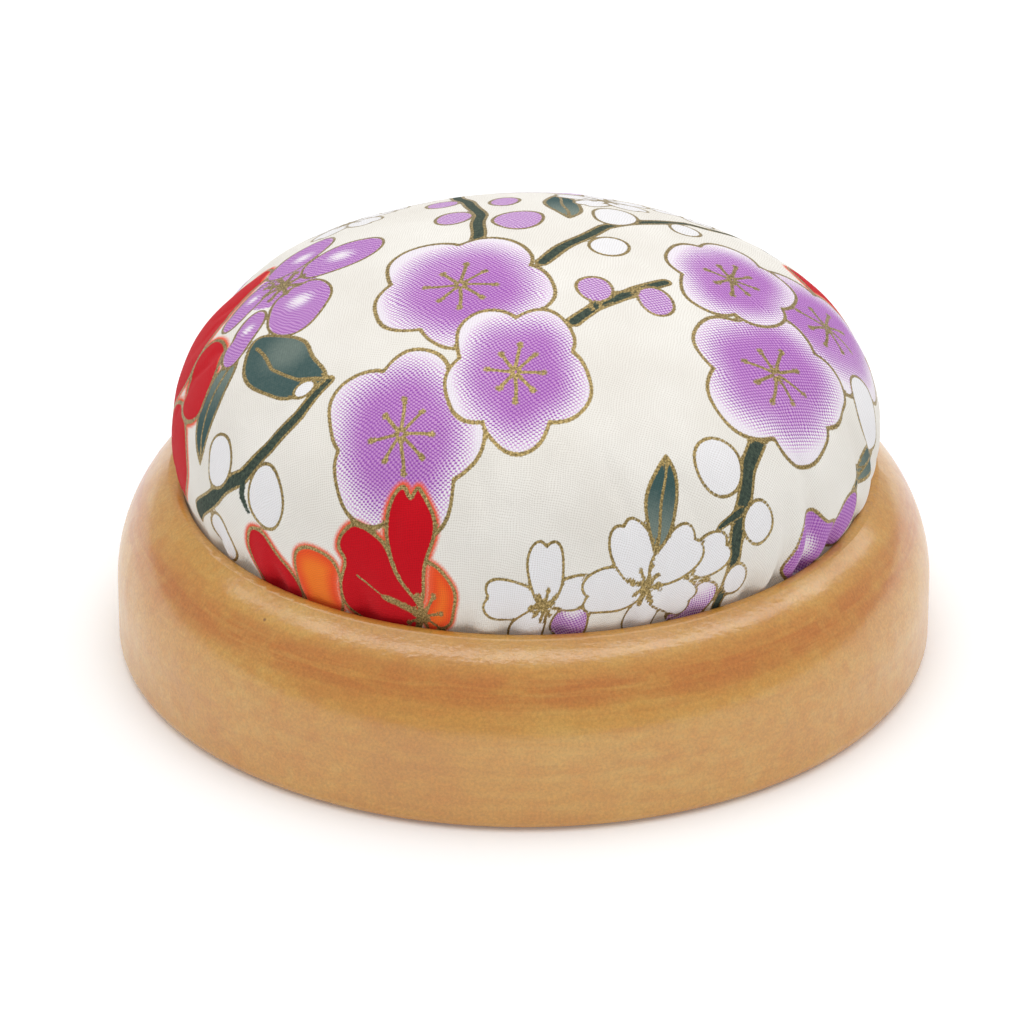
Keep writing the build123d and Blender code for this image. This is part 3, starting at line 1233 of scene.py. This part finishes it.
@dataclass
class CushionCover:
    """The printed cloth: drawn over the filling, gathered under the disc."""

    cells: int = 136
    inset_mm: float = 0.1
    most_move_mm: float = 0.7
    held_move_mm: float = 0.12
    sim_scale: float = 15.0
    sim_frames: int = 20
    pressure: float = 1.0
    lump_mm: float = 0.28
    off_centre_mm: Point = (0.3, -0.5)
    seed: int = 7
    loose_gathers: int = 46
    loose_ranges: tuple = ((0, 360), (0.15, 0.5), (0.7, 1.5), (4, 8))
    placed_gathers: tuple = (
        (-38, 1.0, 1.2, 15), (-44, 0.7, 1.0, 12), (-21, 0.45, 1.2, 17), (-14, 0.35, 1.0, 13),
        (-51, 0.5, 1.0, 7), (-30, 0.4, 0.9, 6), (-139, 0.5, 1.2, 7), (-150, 0.45, 1.1, 7),
        (-62, 0.35, 1.1, 5), (-100, 0.3, 1.3, 5), (172, 0.5, 1.2, 8), (8, 0.5, 1.2, 8),
    )

    def __post_init__(self) -> None:
        """Settle the outline and the gathers."""
        self.outline = DomeOutline.from_frame()
        self.neck = self.outline.neck
        draw = np.random.default_rng(self.seed)
        self.gathers = [Gather(*sizes) for sizes in self.placed_gathers]
        for _ in range(self.loose_gathers):
            self.gathers.append(Gather(*[float(draw.uniform(*limits)) for limits in self.loose_ranges]))

    def rings(self) -> list:
        """Place the rings below the dome.

        Returns:
            Their distances along the cloth.
        """
        fold = self.outline.where(self.outline.floor + self.outline.fold_round + 0.1)
        end = float(self.outline.table[-1, 0])
        round_fold = [fold + step for step in (0.0, 0.7, 1.3, 2.0)]
        return [self.neck + 2.5, self.neck + 6.0, *round_fold, (fold + end) / 2, end]

    def flat_disc(self, work: bmesh.types.BMesh) -> None:
        """Make an evenly divided disc of cloth and the rings around it, as distance and azimuth.

        Args:
            work: The mesh, which gets its places on the cloth as flat coordinates.
        """
        bmesh.ops.create_grid(work, x_segments=self.cells, y_segments=self.cells, size=1.0)
        for vert in work.verts:
            x, y = vert.co.x, vert.co.y
            share = max(abs(x), abs(y))
            if share > 1e-9:
                lead, aside = (x, y) if abs(x) >= abs(y) else (y, x)
                turn = math.pi / 4 * aside / lead
                turn = turn if abs(x) >= abs(y) else math.pi / 2 - turn
                turn += math.pi if lead < 0 else 0.0
                gone = self.outline.even_share(share)
                vert.co = Vector((gone * math.cos(turn), gone * math.sin(turn), 0.0))
        for gone in self.rings():
            border = [edge for edge in work.edges if edge.is_boundary]
            made = bmesh.ops.extrude_edge_only(work, edges=border)["geom"]
            for vert in (part for part in made if isinstance(part, bmesh.types.BMVert)):
                vert.co = vert.co.normalized() * gone

    def raise_dome(self, flat: np.ndarray) -> np.ndarray:
        """Place flat cloth on the dome, in millimetres.

        Args:
            flat: Places on the cloth, one row each.

        Returns:
            Places in space, one row each.
        """
        gone = np.hypot(flat[:, 0], flat[:, 1])
        turn = np.arctan2(flat[:, 1], flat[:, 0])
        radius, height, out, up = self.outline.at(gone)
        free = 1 - smooth(gone, self.neck - 2.0, self.neck + 1.0)
        drawn_in = 1 - smooth(gone, self.neck + 1.0, self.neck + 5.0)
        shift = -self.inset_mm * free
        for fold in self.gathers:
            off = np.angle(np.exp(1j * (turn - math.radians(fold.azimuth)))) * radius
            rise = smooth(gone, self.neck - fold.reach_mm, self.neck - 1.5) * drawn_in
            hollow = np.exp(-((off / fold.width_mm) ** 2))
            swell = np.exp(-(((np.abs(off) - 1.9 * fold.width_mm) / fold.width_mm) ** 2))
            shift = shift - fold.depth_mm * rise * (hollow - 0.35 * swell)
        lumps = np.array([
            noise.noise(Vector((a / 13, b / 13, 3.1))) + 0.45 * noise.noise(Vector((a / 5, b / 5, 9.7)))
            for a, b in flat[:, :2]
        ])
        shift = shift + self.lump_mm * lumps * free
        shift = np.minimum(shift, np.where(gone > self.neck - 1.0, 0.1, 1.0))
        radius = radius + shift * out
        lean = 1 - smooth(gone, self.neck - 7.0, self.neck + 1.0)
        return np.column_stack([
            radius * np.cos(turn) + self.off_centre_mm[0] * lean,
            radius * np.sin(turn) + self.off_centre_mm[1] * lean,
            height + shift * up,
        ])

    def simulate(self, piece: bpy.types.Object, gone: np.ndarray) -> None:
        """Let the cloth fill out under pressure, with its neck held, and apply the result.

        Args:
            piece: The cover, in metres.
            gone: Distance along the cloth of each vertex.
        """
        start = read_places(piece.data)
        write_places(piece.data, start * self.sim_scale)
        held = piece.vertex_groups.new(name="held")
        grip = smooth(gone, self.neck - 3.0, self.neck + 0.5)
        for level in range(1, 11):
            chosen = np.nonzero(np.round(grip * 10) == level)[0]
            if len(chosen):
                held.add(chosen.tolist(), level / 10, "REPLACE")
        cloth = piece.modifiers.new("cloth", "CLOTH")
        settings = {
            "quality": 5,
            "mass": 0.3,
            "tension_stiffness": 25,
            "compression_stiffness": 25,
            "shear_stiffness": 8,
            "bending_stiffness": 0.3,
            "use_pressure": True,
            "uniform_pressure_force": self.pressure,
            "vertex_group_mass": held.name,
        }
        for name, value in settings.items():
            setattr(cloth.settings, name, value)
        cloth.settings.effector_weights.gravity = 0.0
        cloth.collision_settings.use_collision = False
        cloth.point_cache.frame_start = 1
        cloth.point_cache.frame_end = self.sim_frames
        scene = bpy.context.scene
        for number in range(1, self.sim_frames + 1):
            scene.frame_set(number)
        settled = piece.evaluated_get(bpy.context.evaluated_depsgraph_get())
        move = read_places(settled.data) / self.sim_scale - start
        piece.modifiers.clear()
        piece.vertex_groups.clear()
        scene.frame_set(1)
        far = np.linalg.norm(move, axis=1)
        loose = 1 - smooth(gone, self.neck - 6.0, self.neck)
        cap = (self.most_move_mm * loose + self.held_move_mm) * MM
        move *= (np.minimum(far, cap) / np.maximum(far, 1e-12))[:, None]
        log.info("cloth moved %.2f mm at most, %.2f mm on average", far.max() / MM, far.mean() / MM)
        write_places(piece.data, start + move)

    def build(self) -> bpy.types.Object:
        """Make the cover, print it and give it its finish.

        Returns:
            The finished piece.
        """
        work = bmesh.new()
        self.flat_disc(work)
        uv = work.loops.layers.uv.new(CLOTH_UV)
        for face in work.faces:
            for loop in face.loops:
                loop[uv].uv = loop.vert.co.xy * UV_PER_MM
        bmesh.ops.recalc_face_normals(work, faces=work.faces)
        mesh = bpy.data.meshes.new("printed_cover")
        work.to_mesh(mesh)
        work.free()
        flat = read_places(mesh)
        write_places(mesh, self.raise_dome(flat) * MM)
        crown = max(mesh.polygons, key=lambda face: face.center.z)
        if crown.normal.z < 0:
            mesh.flip_normals()
        piece = add_piece("printed_cover", mesh)
        self.simulate(piece, np.hypot(flat[:, 0], flat[:, 1]))
        self.refine(piece)
        self.dress(piece)
        return piece

    def refine(self, piece: bpy.types.Object) -> None:
        """Divide every face of the cover once, with its curve kept.

        Args:
            piece: The cover.
        """
        finer = piece.modifiers.new("finer", "SUBSURF")
        finer.levels = 1
        finer.render_levels = 1
        settled = piece.evaluated_get(bpy.context.evaluated_depsgraph_get())
        mesh = bpy.data.meshes.new_from_object(settled)
        piece.modifiers.clear()
        piece.data = mesh
        mesh.name = piece.name
        mesh.polygons.foreach_set("use_smooth", [True] * len(mesh.polygons))

    def dress(self, piece: bpy.types.Object) -> None:
        """Args:
            piece: The cover.
        """
        mesh = piece.data
        corners = np.empty(len(mesh.loops) * 2)
        mesh.uv_layers[CLOTH_UV].data.foreach_get("uv", corners)
        owner = np.empty(len(mesh.loops), int)
        mesh.loops.foreach_get("vertex_index", owner)
        flat = np.empty((len(mesh.vertices), 2))
        flat[owner] = corners.reshape(-1, 2) / UV_PER_MM
        surface = PrintedSurface(flat[:, 0], flat[:, 1])
        BlossomPrint().print_on(surface)
        surface.store(mesh)
        mesh.materials.clear()
        mesh.materials.append(PrintedCotton().material())
        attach(piece, "root")
        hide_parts("cushion_cover")
        log.info("printed_cover: %d faces", len(mesh.polygons))


@dataclass
class Stuffing:
    """The filling that the cover is drawn over, standing on the backing disc."""

    inset_mm: float = 0.55
    over_disc_mm: float = 0.05

    def build(self, cover: bpy.types.Object) -> bpy.types.Object:
        """Make the filling from the inside of the cover.

        Args:
            cover: The finished cover.

        Returns:
            The finished piece.
        """
        disc_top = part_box("backing_disc")[1].z
        work = bmesh.new()
        work.from_mesh(cover.data)
        work.loops.layers.uv.remove(work.loops.layers.uv[CLOTH_UV])
        bmesh.ops.bisect_plane(
            work,
            geom=work.verts[:] + work.edges[:] + work.faces[:],
            plane_co=(0, 0, disc_top + self.over_disc_mm * MM),
            plane_no=(0, 0, -1),
            clear_outer=True,
        )
        for vert in work.verts:
            vert.normal_update()
        moves = [(vert, vert.normal * self.inset_mm * MM) for vert in work.verts]
        for vert, move in moves:
            vert.co -= Vector((move.x, move.y, 0.0)) if vert.is_boundary else move
        border = [edge for edge in work.edges if edge.is_boundary]
        bmesh.ops.holes_fill(work, edges=border, sides=0)
        bmesh.ops.recalc_face_normals(work, faces=work.faces)
        mesh = bpy.data.meshes.new("fibre_filling")
        work.to_mesh(mesh)
        work.free()
        for name in PRINT_LAYERS:
            mesh.attributes.remove(mesh.attributes[name])
        mesh.materials.clear()
        mesh.materials.append(FibreFill().material())
        piece = add_piece("fibre_filling", mesh)
        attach(piece, "root")
        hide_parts("stuffing")
        log.info("fibre_filling: %d faces", len(mesh.polygons))
        return piece


class HardParts:
    """The wooden base and what lies under the cushion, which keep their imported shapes."""

    def build(self) -> None:
        """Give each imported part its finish."""
        finishes = {
            "wooden_base": LacqueredWood(),
            "backing_disc": Greyboard(),
            "glue_layer": DriedGlue(),
            "gathering_thread": TwistedThread(),
        }
        for name, finish in finishes.items():
            made = finish.material()
            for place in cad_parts[name].material_slots:
                place.material = made
            log.info("%s: %s", name, made.name)


# ---------------------------------------------------------------- the studio


def direction(azimuth: float, elevation: float) -> Vector:
    """Unit vector from the object, in degrees round from the front and up from the floor."""
    turn, rise = math.radians(azimuth), math.radians(elevation)
    return Vector((math.sin(turn) * math.cos(rise), -math.cos(turn) * math.cos(rise), math.sin(rise)))


def set_down(name: str, data: bpy.types.ID, place: Vector, turn: object) -> bpy.types.Object:
    """Put a light or a camera in its place.

    Args:
        name: The object's name.
        data: The light or camera.
        place: Where it goes.
        turn: The quaternion that turns it, from facing down.

    Returns:
        The new object.
    """
    made = add_piece(name, data)
    made.location = place
    made.rotation_mode = "QUATERNION"
    made.rotation_quaternion = turn
    return made


def panel(name: str, width: float, height: float, watts: float) -> bpy.types.Light:
    """Make one soft light panel.

    Args:
        name: The light's name.
        width: How wide it is.
        height: How tall it is.
        watts: Its power.

    Returns:
        The light.
    """
    data = bpy.data.lights.new(name, "AREA")
    data.shape = "RECTANGLE"
    data.size = width
    data.size_y = height
    data.energy = watts
    return data


@dataclass(frozen=True)
class LightBow:
    """Narrow panels in a bow, hung where the shoulder of the base mirrors them to the camera."""

    first: float = -52.0
    last: float = 70.0
    panels: int = 8
    slope: float = 42.0
    distance: float = 0.9
    height: float = 0.07
    radiance: float = 5.2

    def way(self, azimuth: float, view: Vector) -> Vector:
        """Direction that the shoulder mirrors to the view, at a place in degrees from the front."""
        normal = direction(azimuth, self.slope)
        return (2 * normal.dot(view) * normal - view).normalized()

    def build(self, target: Vector, view: Vector) -> None:
        """Hang the panels end to end, with the outer ones dimmed.

        Args:
            target: What they face.
            view: Direction from the base to the camera.
        """
        step = (self.last - self.first) / self.panels
        for number in range(self.panels):
            start, middle, end = (
                self.way(self.first + (number + part) * step, view) for part in (0.0, 0.5, 1.0)
            )
            along = (end - start).normalized()
            aside = (along - along.dot(middle) * middle).normalized()
            turn = Matrix((aside, middle.cross(aside), middle)).transposed().to_quaternion()
            width = (end - start).length * self.distance
            share = math.sin(math.pi * (number + 0.5) / self.panels) ** 0.5
            name = f"bow_{number}"
            data = panel(name, width, self.height, self.radiance * share * math.pi * width * self.height)
            set_down(name, data, target + middle * self.distance, turn)


@dataclass(frozen=True)
class Studio:
    """Pale floor, soft light and the camera."""

    elevation: float = 27.8
    distance: float = 0.75
    lens: float = 239.3
    look_height: float = 0.020
    aside: float = -0.00128
    lower: float = -0.00479
    floor_half: float = 3.0
    floor_gap: float = 0.0001
    floor_glow: float = 0.10
    top_elevation: float = 76.0
    top_distance: float = 0.9
    top_side: float = 1.2
    top_watts: float = 6.7
    surround: float = 0.42

    def floor(self) -> None:
        """Lay the floor."""
        work = bmesh.new()
        bmesh.ops.create_grid(work, x_segments=1, y_segments=1, size=self.floor_half)
        mesh = bpy.data.meshes.new("studio_floor")
        work.to_mesh(mesh)
        work.free()
        bench = NodeBench("studio_floor")
        grit = bench.noise(bench.object_mm(), 0.01)
        mesh.materials.append(bench.finish(
            base_color=bench.ramp(grit, (0.3, 249, 250, 251), (0.7, 252, 253, 254)),
            roughness=0.9,
            specular_ior_level=0.1,
            emission_color=(1.0, 1.0, 1.0, 1.0),
            emission_strength=self.floor_glow,
        ))
        sheet = add_piece("studio_floor", mesh)
        sheet.location.z = -self.floor_gap

    def lights(self) -> None:
        """Hang the light panels and set the surrounding light."""
        target = Vector((0, 0, self.look_height))
        LightBow().build(target, direction(0, self.elevation))
        above = direction(180, self.top_elevation)
        data = panel("top_panel", self.top_side, self.top_side, self.top_watts)
        set_down("top_panel", data, target + above * self.top_distance, above.to_track_quat("Z", "Y"))
        world = bpy.data.worlds.new("studio")
        bpy.context.scene.world = world
        world.use_nodes = True
        background = world.node_tree.nodes["Background"]
        background.inputs["Color"].default_value = (1.0, 1.0, 1.0, 1.0)
        background.inputs["Strength"].default_value = self.surround
        bpy.context.scene.view_settings.view_transform = "Standard"

    def camera(self) -> None:
        """Set the camera."""
        rise = math.radians(self.elevation)
        back = direction(0, self.elevation)
        data = bpy.data.cameras.new("camera")
        data.lens = self.lens
        data.sensor_width = 36.0
        data.clip_start = 0.05
        data.clip_end = 20.0
        up = Vector((0, math.sin(rise), math.cos(rise)))
        place = Vector((self.aside, 0, self.look_height)) + up * self.lower + back * self.distance
        bpy.context.scene.camera = set_down("camera", data, place, back.to_track_quat("Z", "Y"))


def main() -> None:
    """Build the studio and the pin cushion."""
    logging.basicConfig(level=logging.INFO, format="%(name)s: %(message)s")
    studio = Studio()
    studio.camera()
    studio.floor()
    studio.lights()
    HardParts().build()
    cover = CushionCover().build()
    Stuffing().build(cover)


if __name__ == "__main__":
    main()
